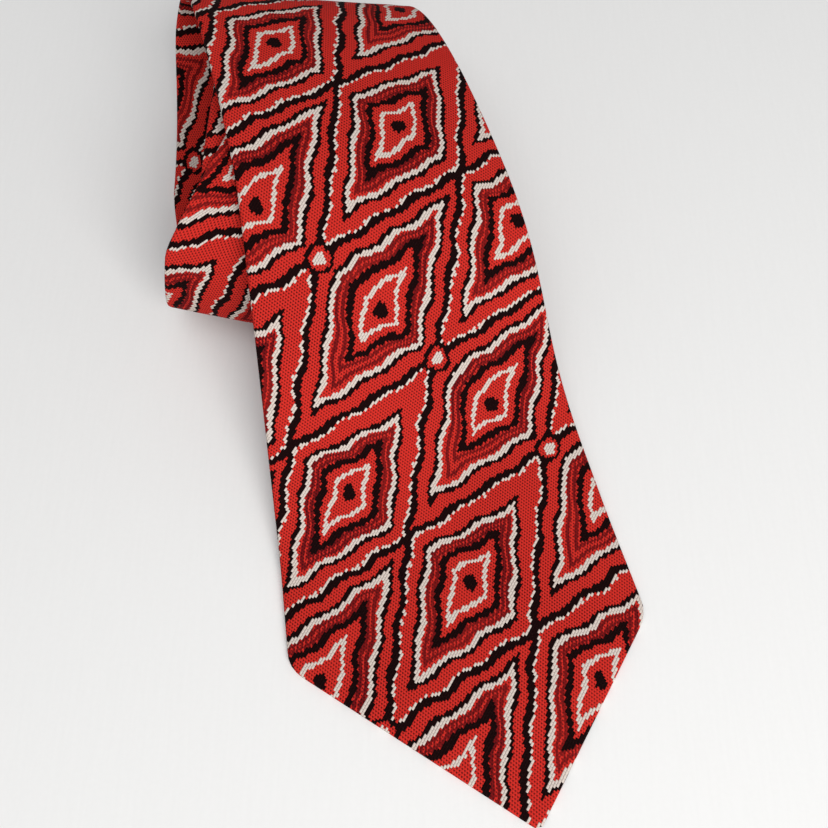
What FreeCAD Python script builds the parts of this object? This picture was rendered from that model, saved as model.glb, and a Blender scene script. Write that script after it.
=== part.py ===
"""A wide necktie, loosely rolled, with its blade laid over the roll and down on to the table.

Frame: millimetres.  X runs along the axis of the roll, Y away from the tip of the blade, Z up.
The tie is one long flat strip of three layers: an outer cloth whose sides fold round to the back,
an interlining inside it, and a tipping behind each pointed end.  The strip lies on one ruled
surface.  Every ruling runs from a point of the left profile to a point of the right profile, and
unrolling those rulings gives the strip's own flat coordinates: "along" from the blade's tip and
"across" from its middle.
"""
import FreeCAD, Part
import math
import os
import Sketcher

Vector = FreeCAD.Vector

doc = FreeCAD.newDocument("necktie")

# ---------------------------------------------------------------- driving dimensions
SIZES = [
    # the finished tie
    ("tie_length", 1420.0),
    ("corner_left_along", 56.0),
    ("corner_left_across", 56.0),
    ("corner_right_along", 46.0),
    ("corner_right_across", 46.0),
    ("crest_width", 79.0),
    ("crest_offset", 1.0),
    ("crest_along", 196.0),
    ("middle_width", 60.0),
    ("middle_along", 430.0),
    ("neck_width", 40.0),
    ("neck_start", 730.0),
    ("neck_end", 1000.0),
    ("tail_width", 54.0),
    ("tail_corner", 1380.0),
    # layers
    ("cloth_half", 0.9),
    ("cloth_wall", 0.35),
    ("layer_gap", 0.1),
    ("lining_slack", 0.6),
    ("tipping_wall", 0.2),
    ("hem_width", 8.0),
    ("seam_half_gap", 0.8),
    # how it lies
    ("lean_angle", 14.0),
    ("table_clearance", 0.05),
    ("fold_line", 62.0),
    ("hinge_gap", 0.4),
    ("left_plane", -90.0),
    ("right_plane", 10.0),
    ("left_crest_away", 192.0),
    ("left_crest_height", 59.0),
    ("left_foot_handle", 22.0),
    ("left_crest_handle", 58.0),
    ("left_front", 47.5),
    ("left_back", 58.0),
    ("right_crest_away", 200.0),
    ("right_crest_height", 34.5),
    ("right_foot_handle", 100.0),
    ("right_crest_handle", 72.0),
    ("right_front", 73.0),
    ("right_back", 62.0),
    ("wraps", 5.8),
    ("wrap_pitch", 2.46),
    ("first_wrap_drop", 3.2),
    ("second_front_gap", 2.5),
    ("front_low", 12.0),
    ("roundness", 2.3),
    # what is sewn to the back
    ("flaps_part_until", 60.0),
    ("flaps_meet_from", 118.0),
    ("tail_flaps_part_from", 1330.0),
    ("tipping_end", 160.0),
    ("tail_tipping_start", 1340.0),
    ("tail_layers_past_corner", 20.0),
    ("blade_seam_along", 560.0),
    ("tail_seam_along", 960.0),
    ("interlining_join_along", 800.0),
    ("cross_seam_half_gap", 0.5),
    ("hem_stitch_length", 3.0),
    ("hem_stitch_width", 0.36),
    ("hem_stitch_pitch", 7.0),
    ("seam_stitch_length", 2.2),
    ("seam_stitch_pitch", 3.4),
    ("seam_stitch_margin", 1.0),
    ("tail_tack_along", 1325.0),
    ("bar_tack_along", 122.0),
    ("bar_tack_length", 9.0),
    ("tack_clearance", 3.0),
    ("keeper_along", 226.0),
    ("keeper_width", 12.0),
    ("keeper_length", 38.0),
    ("keeper_wall", 0.4),
    ("label_along", 246.0),
    ("label_width", 46.0),
    ("label_depth", 20.0),
    ("label_wall", 0.25),
    ("end_stitch_inset", 1.0),
    ("thread", 0.6),
    ("slip_stitch_length", 3.5),
]


def make_sheet():
    """The spreadsheet that holds every driving dimension under its own name."""
    sheet = doc.addObject("Spreadsheet::Sheet", "sizes")
    for row, (name, value) in enumerate(SIZES, start=1):
        sheet.set("A%d" % row, name)
        sheet.set("B%d" % row, str(value))
        sheet.setAlias("B%d" % row, name)
    doc.recompute()
    return sheet


sheet = make_sheet()


def size(name):
    """One driving dimension, read back from the spreadsheet."""
    return float(getattr(sheet, name))


LEAN = math.radians(size("lean_angle"))
HALF = size("cloth_half")
WALL = size("cloth_wall")
GAP = size("layer_gap")
MID_HEIGHT = HALF + size("table_clearance")
PITCH = size("wrap_pitch")
STATIONS_PER_WRAP = 18
FLAT_STATIONS = 3
DRAPE_STATIONS = 12
LEAST_HALF_WIDTH = 2.5
LEAST_FLAP = 0.5
LEAST_SPAN = 0.4
LEAST_STITCHED = 6.0
CLEAR = 0.02
SEAM_FILL = 0.8
SETTLE_ROUNDS = 12
# Where along a ruling its normal is taken.
NORMAL_SHARE = 0.4
# Between these turns the strip's middle goes over from its own straight line to MIDDLE_X.
GUIDED_FROM = 0.3
GUIDED_BY = 0.6

# The share of the right side's extra depth in front that a wrap keeps, by turns from the crest.
FRONT_SPREAD = [(0.0, 1.0), (0.9, 1.0), (1.3, 0.12), (9.0, 0.12)]
# The share of the front fold's lower level that a wrap keeps, by turns from the crest.
FRONT_DROOP = [(0.0, 1.0), (0.75, 1.0), (8.5, 0.0)]
# Where the middle of the strip runs along the roll's axis, by turns from the crest.
MIDDLE_X = [(0.0, -50.0), (0.5, -81.0), (0.75, -79.0), (0.85, -74.0), (1.0, -56.0), (1.3, -54.0),
            (1.7, -73.0), (2.3, -73.0), (2.7, -66.0), (9.0, -66.0)]


def table(rows, value):
    """Straight lines between the rows of a small table."""
    if value <= rows[0][0]:
        return rows[0][1]
    for (a, b), (c, d) in zip(rows, rows[1:]):
        if value <= c:
            return b + (d - b) * (value - a) / (c - a)
    return rows[-1][1]


def smooth(start, end, value):
    """0 before start, 1 after end and a smooth step between."""
    share = min(1.0, max(0.0, (value - start) / (end - start)))
    return share * share * (3.0 - 2.0 * share)


# ---------------------------------------------------------------- the surface the strip lies on
def drape_point(side, share):
    """The profile from the fold line on the table (share 0) up to the crest of the roll (share 1)."""
    foot = size("fold_line")
    crest = size(side + "_crest_away")
    top = size(side + "_crest_height")
    ys = (foot, foot + size(side + "_foot_handle"), crest - size(side + "_crest_handle"), crest)
    zs = (MID_HEIGHT, MID_HEIGHT, top, top)
    k = ((1 - share) ** 3, 3 * (1 - share) ** 2 * share, 3 * (1 - share) * share ** 2, share ** 3)
    return sum(a * b for a, b in zip(k, ys)), sum(a * b for a, b in zip(k, zs))


def rounded(value):
    """A cosine or sine made squarer, for a flattened loop."""
    return math.copysign(abs(value) ** (2.0 / size("roundness")), value)


def wrap_point(side, turn):
    """The profile after the crest: turn 0 crest, 0.25 back fold, 0.5 underside, 0.75 front fold."""
    angle = 2.0 * math.pi * turn
    front = size("left_front")
    if side == "right":
        front += (size("right_front") - front) * table(FRONT_SPREAD, turn)
    front -= PITCH * max(turn - 0.75, 0.0) + size("second_front_gap") * smooth(1.3, 1.6, turn)
    back = size(side + "_back") - PITCH * max(turn - 0.25, 0.0)
    top = size(side + "_crest_height")
    ahead = rounded(math.sin(angle))
    lower = size("front_low") * table(FRONT_DROOP, turn)
    middle = (top + MID_HEIGHT) / 2.0 - lower * min(ahead, 0.0) ** 2
    if math.cos(angle) > 0:
        height = top - middle - PITCH * turn
        height -= size("first_wrap_drop") * smooth(0.5, 0.8, turn)
    else:
        height = middle - MID_HEIGHT - PITCH * max(turn - 0.5, 0.0)
    reach = back if ahead > 0 else front
    y = size(side + "_crest_away") + reach * ahead
    z = middle + height * rounded(math.cos(angle))
    return y, z


class Ruling:
    """A straight line across the surface, with its place in the flat strip."""

    def __init__(self, left, right, turn):
        self.left = Vector(size("left_plane"), left[0], left[1])
        self.right = Vector(size("right_plane"), right[0], right[1])
        self.turn = turn
        self.flat_left = None
        self.flat_right = None
        self.normal = None

    def direction(self):
        return (self.right - self.left).normalize()

    def point(self, share):
        return self.left + (self.right - self.left) * share

    def share_of(self, across):
        return (across - self.flat_left[1]) / (self.flat_right[1] - self.flat_left[1])

    def along(self, share):
        return self.flat_left[0] + (self.flat_right[0] - self.flat_left[0]) * share


def to_strip(x, y):
    """Flat coordinates (along, across) of a point of the unrolled surface."""
    return (y * math.cos(LEAN) - x * math.sin(LEAN), x * math.cos(LEAN) + y * math.sin(LEAN))


def third_corner(a, b, to_a, to_b):
    """The point at two given distances from a and b, on the far side of the line from a to b."""
    base = math.dist(a, b)
    u = (to_a ** 2 - to_b ** 2 + base ** 2) / (2.0 * base)
    v = math.sqrt(max(to_a ** 2 - u ** 2, 0.0))
    ex = (b[0] - a[0]) / base
    ey = (b[1] - a[1]) / base
    return (a[0] + u * ex - v * ey, a[1] + u * ey + v * ex)


def unroll(rulings):
    """Gives every ruling its flat place, by laying the surface out flat one span at a time."""
    first = rulings[0]
    a = (first.left.x, first.left.y)
    b = (first.right.x, first.right.y)
    first.flat_left = to_strip(*a)
    first.flat_right = to_strip(*b)
    for before, after in zip(rulings, rulings[1:]):
        left = before.left.distanceToPoint
        right = before.right.distanceToPoint
        c = third_corner(a, b, left(after.left), right(after.left))
        d = third_corner(a, b, left(after.right), right(after.right))
        after.flat_left = to_strip(*c)
        after.flat_right = to_strip(*d)
        a = c
        b = d


def set_normals(rulings):
    """The outward normal of each ruling, square to it, from its neighbours."""
    last = len(rulings) - 1
    for i, ruling in enumerate(rulings):
        before = rulings[max(i - 1, 0)]
        after = rulings[min(i + 1, last)]
        ahead = after.point(NORMAL_SHARE) - before.point(NORMAL_SHARE)
        ruling.normal = ruling.direction().cross(ahead).normalize()


def make_rulings():
    """Every ruling from the fold line on the table to the inner end of the roll."""
    foot = size("fold_line")
    rulings = []
    for i in range(FLAT_STATIONS):
        y = foot * i / (FLAT_STATIONS - 1)
        rulings.append(Ruling((y, MID_HEIGHT), (y, MID_HEIGHT), -1.0))
    for i in range(1, DRAPE_STATIONS + 1):
        share = i / DRAPE_STATIONS
        rulings.append(Ruling(drape_point("left", share), drape_point("right", share), share - 1.0))
    for i in range(1, int(size("wraps") * STATIONS_PER_WRAP) + 1):
        turn = i / STATIONS_PER_WRAP
        rulings.append(Ruling(wrap_point("left", turn), wrap_point("right", turn), turn))
    unroll(rulings)
    set_normals(rulings)
    return rulings


RULINGS = make_rulings()


# ---------------------------------------------------------------- the outline of the strip
def left_half(along):
    """Half width to the left of the strip's middle line."""
    rows = [(0.0, 0.0), (size("corner_left_along"), size("corner_left_across")),
            (size("crest_along"), size("crest_width") / 2.0 + size("crest_offset"))] + common_half()
    return table(rows, along)


def right_half(along):
    """Half width to the right of the strip's middle line."""
    rows = [(0.0, 0.0), (size("corner_right_along"), size("corner_right_across")),
            (size("crest_along"), size("crest_width") / 2.0 - size("crest_offset"))] + common_half()
    return table(rows, along)


def common_half():
    """Both half widths, from the middle of the roll to the tail's corner and its point."""
    return [(size("middle_along"), size("middle_width") / 2.0),
            (size("neck_start"), size("neck_width") / 2.0),
            (size("neck_end"), size("neck_width") / 2.0),
            (size("tail_corner"), size("tail_width") / 2.0),
            (size("tie_length") - LEAST_HALF_WIDTH, LEAST_HALF_WIDTH)]


class Station:
    """One cross-section of the strip: its middle, its two half widths, and its own axes."""

    def __init__(self, ruling):
        middle = ruling.share_of(0.0)
        wanted = (table(MIDDLE_X, ruling.turn) - ruling.left.x) / (ruling.right.x - ruling.left.x)
        share = smooth(GUIDED_FROM, GUIDED_BY, ruling.turn)
        self.middle = middle + (wanted - middle) * share
        self.along = ruling.along(self.middle)
        self.turn = ruling.turn
        self.axis = ruling.direction()
        self.normal = ruling.normal
        self.centre = ruling.point(self.middle)
        wide = ruling.flat_right[1] - ruling.flat_left[1]
        stretch = (ruling.right - ruling.left).Length / wide
        slope = (ruling.flat_right[0] - ruling.flat_left[0]) / wide
        self.left = left_half(self.along) * stretch
        self.right = right_half(self.along) * stretch
        for _ in range(SETTLE_ROUNDS):
            self.left = left_half(self.along - slope * self.left / stretch) * stretch
            self.right = right_half(self.along + slope * self.right / stretch) * stretch

    def place(self, across, height):
        """A point of the section: across along the ruling, height along the normal."""
        return self.centre + self.axis * across + self.normal * height

    def towards(self, after, share):
        """A section part of the way to the next one."""
        other = object.__new__(Station)
        other.__dict__.update(self.__dict__)
        other.along = self.along + (after.along - self.along) * share
        other.left = self.left + (after.left - self.left) * share
        other.right = self.right + (after.right - self.right) * share
        other.centre = self.centre + (after.centre - self.centre) * share
        other.axis = (self.axis + (after.axis - self.axis) * share).normalize()
        mixed = self.normal + (after.normal - self.normal) * share
        other.normal = other.axis.cross(mixed.cross(other.axis)).normalize()
        return other

    def moved(self, distance):
        """The same section pushed along the strip, square to its own plane."""
        other = object.__new__(Station)
        other.__dict__.update(self.__dict__)
        other.centre = self.centre + self.normal.cross(self.axis) * distance
        return other


STATIONS = [Station(r) for r in RULINGS]


def between(low, high):
    """The stations whose place along the strip lies between two distances from the tip."""
    return [s for s in STATIONS if s.turn > -1.0 and low <= s.along <= high]


def station_at(along):
    """A section at an exact distance along the strip, between its two neighbours."""
    for before, after in zip(STATIONS, STATIONS[1:]):
        if before.along <= along <= after.along:
            return before.towards(after, (along - before.along) / (after.along - before.along))
    raise ValueError("the strip is not that long: %s" % along)


def span(low, high):
    """Sections from low to high along the strip, with an exact one at each end."""
    inner = between(low + LEAST_SPAN, high - LEAST_SPAN)
    return [station_at(low)] + inner + [station_at(high)]


# ---------------------------------------------------------------- solids on the strip
def loft(stations, outline):
    """A solid through the same outline at every station."""
    wires = []
    for station in stations:
        corners = [station.place(across, height) for across, height in outline(station)]
        wires.append(Part.makePolygon(corners + [corners[0]]))
    return Part.makeLoft(wires, True, True)


def open_until(along):
    """1 where the blade's sides lie apart behind the tip, 0 from where they meet."""
    return 1.0 - smooth(size("flaps_part_until"), size("flaps_meet_from"), along)


def flap_gap(station):
    """Half the opening between the two folded-in sides at the back, wide near the pointed ends."""
    width = min(station.left, station.right)
    least = size("seam_half_gap")
    open_blade = (width - size("hem_width")) * open_until(station.along)
    tail_share = smooth(size("tail_flaps_part_from"), size("tail_corner"), station.along)
    open_tail = (width - size("hem_width")) * tail_share
    return min(max(least, open_blade, open_tail), width - WALL - LEAST_FLAP)


def shell_outline(station):
    """The outer cloth in section: a face, two folded edges and two flaps behind."""
    l = -station.left
    r = station.right
    g = flap_gap(station)
    inner = HALF - WALL
    return [(l, -HALF), (l, HALF), (r, HALF), (r, -HALF), (g, -HALF), (g, -inner),
            (r - WALL, -inner), (r - WALL, inner), (l + WALL, inner), (l + WALL, -inner),
            (-g, -inner), (-g, -HALF)]


def band_outline(inset, low, high):
    """A plain layer, inset from both edges of the strip, between two heights."""
    def outline(station):
        l = -station.left + inset
        r = station.right - inset
        return [(l, low), (l, high), (r, high), (r, low)]
    return outline


def block_outline(start, end, low, high):
    """A block at fixed places across the strip, between two heights."""
    def outline(_station):
        return [(start, low), (start, high), (end, high), (end, low)]
    return outline


LINING_TOP = HALF - WALL - GAP
TIPPING_LOW = -(HALF - WALL) + GAP
TIPPING_HIGH = TIPPING_LOW + size("tipping_wall")
LINING_LOW = TIPPING_HIGH + GAP
LINING_INSET = WALL + size("lining_slack")
BACK = -HALF

parts = []


def add_feature(name, shape):
    """A sub-part whose shape follows the rolled surface."""
    feature = doc.addObject("Part::Feature", name)
    feature.Label = name
    feature.Shape = shape
    feature.Placement = FreeCAD.Placement()
    parts.append(feature)
    return feature


# ---------------------------------------------------------------- flat tip of the blade
def to_table(along, across):
    """Table coordinates of a flat place on the strip."""
    return (across * math.cos(LEAN) - along * math.sin(LEAN),
            across * math.sin(LEAN) + along * math.cos(LEAN))


def tip_outline(inset):
    """The five corners of the blade's tip up to the fold line, its free sides moved in by inset."""
    end = size("fold_line") - size("hinge_gap") / 2.0
    left_corner = to_table(size("corner_left_along"), -size("corner_left_across"))
    right_corner = to_table(size("corner_right_along"), size("corner_right_across"))
    right_end = side_at_fold(right_half, 1.0, end)
    left_end = side_at_fold(left_half, -1.0, end)
    corners = [right_end, left_end, left_corner, (0.0, 0.0), right_corner]
    return inset_polygon(corners, [0.0, inset, inset, inset, inset])


def side_at_fold(half, side, y):
    """Where a side of the blade meets the line at y on the table."""
    along = y
    for _ in range(SETTLE_ROUNDS):
        along += y - to_table(along, side * half(along))[1]
    return to_table(along, side * half(along))


def inset_polygon(corners, insets):
    """A convex polygon, counter-clockwise, with each side moved in by its own inset."""
    count = len(corners)
    lines = []
    for i in range(count):
        ax, ay = corners[i]
        bx, by = corners[(i + 1) % count]
        length = math.dist((ax, ay), (bx, by))
        nx = -(by - ay) / length
        ny = (bx - ax) / length
        lines.append((nx, ny, nx * ax + ny * ay + insets[i]))
    moved = []
    for i in range(count):
        a1, b1, c1 = lines[i - 1]
        a2, b2, c2 = lines[i]
        det = a1 * b2 - a2 * b1
        moved.append(((c1 * b2 - c2 * b1) / det, (a1 * c2 - a2 * c1) / det))
    return moved


def tip_border(width):
    """A border of the tip along its four free sides, open at the fold line."""
    outer = tip_outline(0.0)
    inner = tip_outline(width)
    return outer[1:] + outer[:1] + inner[:1] + inner[:0:-1]


def new_body(name):
    """An empty PartDesign body that will be written out under its own name."""
    body = doc.addObject("PartDesign::Body", name)
    body.Label = name
    parts.append(body)
    return body


def flat_sketch(body, name, outlines, level):
    """A sketch of closed outlines on the body's own XY plane, raised to a level."""
    sketch = body.newObject("Sketcher::SketchObject", name)
    plane = [f for f in body.Origin.OriginFeatures if f.Role == "XY_Plane"][0]
    sketch.AttachmentSupport = (plane, [""])
    sketch.MapMode = "FlatFace"
    sketch.setExpression("AttachmentOffset.Base.z", level)
    for corners in outlines:
        first = sketch.GeometryCount
        count = len(corners)
        for i in range(count):
            a = Vector(corners[i][0], corners[i][1], 0)
            b = Vector(corners[(i + 1) % count][0], corners[(i + 1) % count][1], 0)
            sketch.addGeometry(Part.LineSegment(a, b), False)
        for i in range(count):
            after = first + (i + 1) % count
            sketch.addConstraint(Sketcher.Constraint("Coincident", first + i, 2, after, 1))
    return sketch


def pad(body, name, sketch, length):
    """A pad upwards from its sketch."""
    feature = body.newObject("PartDesign::Pad", name)
    feature.Profile = sketch
    feature.setExpression("Length", length)
    body.Tip = feature
    sketch.Visibility = False
    return feature


BOTTOM = "sizes.table_clearance"
FULL = "2 * sizes.cloth_half"


def make_blade_cloth_tip():
    """Face of the tip, its folded edge, and the hem turned in behind."""
    body = new_body("blade_cloth_tip")
    outer = tip_outline(0.0)
    face = flat_sketch(body, "tip_face", [outer], BOTTOM + " + " + FULL + " - sizes.cloth_wall")
    pad(body, "tip_face_pad", face, "sizes.cloth_wall")
    edge = flat_sketch(body, "tip_edge", [tip_border(WALL)], BOTTOM)
    pad(body, "tip_edge_pad", edge, FULL + " - sizes.cloth_wall")
    hem = flat_sketch(body, "tip_hem", [tip_border(size("hem_width"))], BOTTOM)
    pad(body, "tip_hem_pad", hem, "sizes.cloth_wall")


def make_blade_interlining_tip():
    """The interlining inside the tip."""
    body = new_body("blade_interlining_tip")
    sketch = flat_sketch(body, "tip_interlining", [tip_outline(LINING_INSET)],
                         BOTTOM + " + sizes.cloth_wall + sizes.tipping_wall + 2 * sizes.layer_gap")
    pad(body, "tip_interlining_pad", sketch,
        FULL + " - 2 * sizes.cloth_wall - sizes.tipping_wall - 3 * sizes.layer_gap")


def make_blade_tipping():
    """The tipping: the lining sewn behind the point, tucked above the hem."""
    body = new_body("blade_tipping")
    sketch = flat_sketch(body, "tip_tipping", [tip_outline(LINING_INSET)],
                         BOTTOM + " + sizes.cloth_wall + sizes.layer_gap")
    pad(body, "tip_tipping_pad", sketch, "sizes.tipping_wall")


def make_blade_tipping_seam():
    """Hand stitches along the inner edge of the hem, on both legs of the point."""
    corners = tip_outline(size("hem_width") + size("thread"))
    length = size("hem_stitch_length")
    spacing = size("hem_stitch_pitch")
    stitches = []
    for a, b in ((corners[2], corners[3]), (corners[3], corners[4])):
        reach = math.dist(a, b)
        ux = (b[0] - a[0]) / reach
        uy = (b[1] - a[1]) / reach
        for k in range(int((reach - 2.0 * spacing) / spacing)):
            start = spacing * (k + 1)
            box = Part.makeBox(length, size("hem_stitch_width"), WALL - 2.0 * CLEAR)
            turn = FreeCAD.Rotation(Vector(0, 0, 1), math.degrees(math.atan2(uy, ux)))
            base = Vector(a[0] + ux * start, a[1] + uy * start, size("table_clearance") + CLEAR)
            box.Placement = FreeCAD.Placement(base, turn)
            stitches.append(box)
    add_feature("blade_tipping_seam", Part.makeCompound(stitches))


# ---------------------------------------------------------------- draped part of the blade
FOLD = STATIONS[FLAT_STATIONS - 1]
CREST = STATIONS[FLAT_STATIONS - 1 + DRAPE_STATIONS]
HINGE = size("hinge_gap") / 2.0


def drape_stations():
    """Sections from just past the fold line to just before the crest."""
    inner = STATIONS[FLAT_STATIONS:FLAT_STATIONS - 1 + DRAPE_STATIONS]
    return [FOLD.moved(HINGE)] + inner + [CREST.moved(-HINGE)]


def drape_part(low, high):
    """The drape's sections between two distances along the strip."""
    return [s for s in drape_stations() if low <= s.along <= high]


def make_drape():
    """The blade between the table and the crest, with all its layers."""
    add_feature("blade_cloth_drape", loft(drape_stations(), shell_outline))
    lining = band_outline(LINING_INSET, LINING_LOW, LINING_TOP)
    add_feature("blade_interlining_drape", loft(drape_stations(), lining))
    tipping = band_outline(LINING_INSET, TIPPING_LOW, TIPPING_HIGH)
    add_feature("blade_tipping_drape", loft(drape_part(0.0, size("tipping_end")), tipping))


def slip_stitch(before, after):
    """One stitch between the two folded sides, halfway between two sections."""
    near = before.place(0.0, BACK)
    far = after.place(0.0, BACK)
    ahead = (far - near).normalize()
    up = before.axis.cross(ahead).normalize()
    across = up.cross(ahead)
    length = size("slip_stitch_length")
    wide = size("thread")
    base = (near + far) * 0.5 - ahead * (length / 2.0) - across * (wide / 2.0) + up * CLEAR
    box = Part.makeBox(length, wide, WALL - 2.0 * CLEAR)
    box.Placement = FreeCAD.Placement(base, FreeCAD.Rotation(ahead, across, up, "XZY"))
    return box


def slip_stitches(stations):
    """The stitches that draw the two folded sides together, one to each span of the cloth."""
    pairs = zip(stations, stations[1:])
    return Part.makeCompound([slip_stitch(a, b) for a, b in pairs if b.along - a.along > LEAST_STITCHED])


def bar_tack(along):
    """A short row of close stitches across the back seam, where it ends."""
    half = size("bar_tack_length") / 2.0
    stations = [station_at(along - size("thread")), station_at(along + size("thread"))]
    return loft(stations, block_outline(-half, half, BACK - size("thread"), BACK - CLEAR))


def make_drape_sewing():
    """Bar tack and slip stitch behind the drape."""
    tack = size("bar_tack_along")
    sewn = drape_part(tack + size("tack_clearance"), size("tie_length"))
    add_feature("blade_bar_tack", bar_tack(tack))
    add_feature("slip_stitch_drape", slip_stitches(sewn))


# ---------------------------------------------------------------- rolled part
BLADE_END = size("blade_seam_along")
NECK_END = size("tail_seam_along")
SEAM_GAP = size("cross_seam_half_gap")
TAIL_TACK = size("tail_tack_along")
TAIL_LAYERS_END = size("tail_corner") + size("tail_layers_past_corner")


def rolled_span(low, high):
    """Sections of the roll; the first one starts just past the crest."""
    if low > CREST.along:
        return span(low, high)
    inner = between(CREST.along + LEAST_SPAN, high - LEAST_SPAN)
    return [CREST.moved(HINGE)] + inner + [station_at(high)]


def make_rolled_cloth():
    """The three lengths of outer cloth: the rest of the blade, the neck and the tail."""
    end = size("tie_length") - LEAST_HALF_WIDTH
    add_feature("blade_cloth_rolled", loft(rolled_span(0.0, BLADE_END - SEAM_GAP), shell_outline))
    add_feature("neck_cloth", loft(span(BLADE_END + SEAM_GAP, NECK_END - SEAM_GAP), shell_outline))
    add_feature("tail_cloth", loft(span(NECK_END + SEAM_GAP, end), shell_outline))


def make_rolled_interlining():
    """Two lengths of interlining, joined in the neck."""
    join = size("interlining_join_along")
    low = -(HALF - WALL) + GAP
    blade = band_outline(LINING_INSET, low, LINING_TOP)
    add_feature("blade_interlining_rolled", loft(rolled_span(0.0, join - SEAM_GAP), blade))
    tail = band_outline(LINING_INSET, LINING_LOW, LINING_TOP)
    add_feature("tail_interlining", loft(span(join + SEAM_GAP, TAIL_LAYERS_END), tail))
    add_feature("interlining_join", stitch_row(join, LINING_INSET, LINING_LOW + GAP, LINING_TOP - GAP))


def stitch_row(along, inset, low, high):
    """Stitches side by side across the strip, in the gap of a cross seam."""
    station = station_at(along)
    near = station.moved(-SEAM_GAP * SEAM_FILL)
    far = station.moved(SEAM_GAP * SEAM_FILL)
    stitch = size("seam_stitch_length")
    pitch = size("seam_stitch_pitch")
    margin = inset + size("seam_stitch_margin")
    first = -station.left + margin
    count = int((station.left + station.right - 2.0 * margin) / pitch)
    rows = []
    for k in range(count):
        start = first + k * pitch
        rows.append(loft([near, far], block_outline(start, start + stitch, low, high)))
    return Part.makeCompound(rows)


def make_cross_seams():
    """The seams where blade meets neck and neck meets tail."""
    low = HALF - WALL + CLEAR
    high = HALF - CLEAR
    add_feature("blade_neck_seam", stitch_row(BLADE_END, WALL, low, high))
    add_feature("neck_tail_seam", stitch_row(NECK_END, WALL, low, high))


def make_rolled_sewing():
    """The slip stitch along the roll, and the bar tack at the tail."""
    sewn = rolled_span(0.0, TAIL_TACK - size("tack_clearance"))
    add_feature("slip_stitch_rolled", slip_stitches(sewn))
    add_feature("tail_bar_tack", bar_tack(TAIL_TACK))


def make_tail_tipping():
    """The lining behind the tail's point, and its stitches."""
    tipping = band_outline(LINING_INSET, TIPPING_LOW, TIPPING_HIGH)
    add_feature("tail_tipping", loft(span(size("tail_tipping_start"), TAIL_LAYERS_END), tipping))


def patch(along, depth, half, top, wall):
    """A small rectangle of cloth on the back of the strip."""
    return loft(span(along, along + depth), block_outline(-half, half, top - wall, top))


def end_stitches(along, depth, half, wall):
    """Two rows of thread that hold the ends of a patch."""
    rows = []
    inset = size("end_stitch_inset")
    for side in (-1.0, 1.0):
        start = side * (half + GAP)
        end = side * (half + GAP + size("thread"))
        outline = block_outline(min(start, end), max(start, end), BACK - GAP - wall, BACK - CLEAR)
        rows.append(loft(span(along + inset, along + depth - inset), outline))
    return Part.makeCompound(rows)


def make_keeper_and_label():
    """The loop that keeps the tail, and the blank label below it."""
    keeper = (size("keeper_along"), size("keeper_width"), size("keeper_length") / 2.0)
    wall = size("keeper_wall")
    add_feature("keeper_loop", patch(*keeper, BACK - GAP, wall))
    add_feature("keeper_stitches", end_stitches(*keeper, wall))
    label = (size("label_along"), size("label_depth"), size("label_width") / 2.0)
    wall = size("label_wall")
    add_feature("blank_label", patch(*label, BACK - GAP, wall))
    add_feature("label_stitches", end_stitches(*label, wall))


make_blade_cloth_tip()
make_blade_interlining_tip()
make_blade_tipping()
make_blade_tipping_seam()
make_drape()
make_drape_sewing()
make_rolled_cloth()
make_rolled_interlining()
make_cross_seams()
make_rolled_sewing()
make_tail_tipping()
make_keeper_and_label()
doc.recompute()


def check():
    """Stops unless every object is in order and every sub-part has a sound solid."""
    for item in doc.Objects:
        if "Invalid" in item.State or "Error" in item.State:
            raise RuntimeError("%s is in state %s" % (item.Name, item.State))
    for item in parts:
        shape = item.Shape
        if shape.isNull() or not shape.isValid() or not shape.Solids:
            raise RuntimeError("%s has no sound solid" % item.Label)
        if min(solid.Volume for solid in shape.Solids) <= 0:
            raise RuntimeError("%s is inside out" % item.Label)


def box_of_all():
    """The box around every sub-part."""
    box = FreeCAD.BoundBox()
    for item in parts:
        box.add(item.Shape.BoundBox)
    return box


def move_to_origin():
    """Puts the origin at the middle of the underside of the whole tie's box."""
    box = box_of_all()
    shift = Vector(-box.Center.x, -box.Center.y, -box.ZMin)
    for item in parts:
        item.Placement = FreeCAD.Placement(shift, FreeCAD.Rotation())
    doc.recompute()
    return shift


def write():
    """Writes one STEP file for every sub-part."""
    os.makedirs("parts", exist_ok=True)
    for item in parts:
        item.Shape.exportStep(os.path.join("parts", item.Label + ".step"))


check()
shift = move_to_origin()
check()
write()
top = CREST.place(0.0, HALF) + shift
axis = CREST.axis * -1.0
fold_top = FOLD.place(0.0, HALF) + shift
print("shift %.3f %.3f %.3f" % tuple(shift))
print("crest axis point %.3f %.3f %.3f" % tuple(top), "direction %.5f %.5f %.5f" % tuple(axis))
print("fold axis point %.3f %.3f %.3f" % tuple(fold_top))
box = box_of_all()
print("box %.2f %.2f %.2f" % (box.XLength, box.YLength, box.ZLength))
print("volume mm3", round(sum(item.Shape.Volume for item in parts), 1))
for item in parts:
    print(item.Label, len(item.Shape.Faces), round(item.Shape.Volume, 1))
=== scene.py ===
"""A wide woven necktie, loosely rolled, its blade laid over the roll and down on to a pale table.

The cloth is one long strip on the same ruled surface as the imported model.  A place on the strip is
"along" from the blade's point and "across" from its middle, in millimetres, and the woven pattern
follows those two numbers, so it runs on through every fold.
"""
import math

import bpy
import numpy as np
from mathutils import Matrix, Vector, noise


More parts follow.
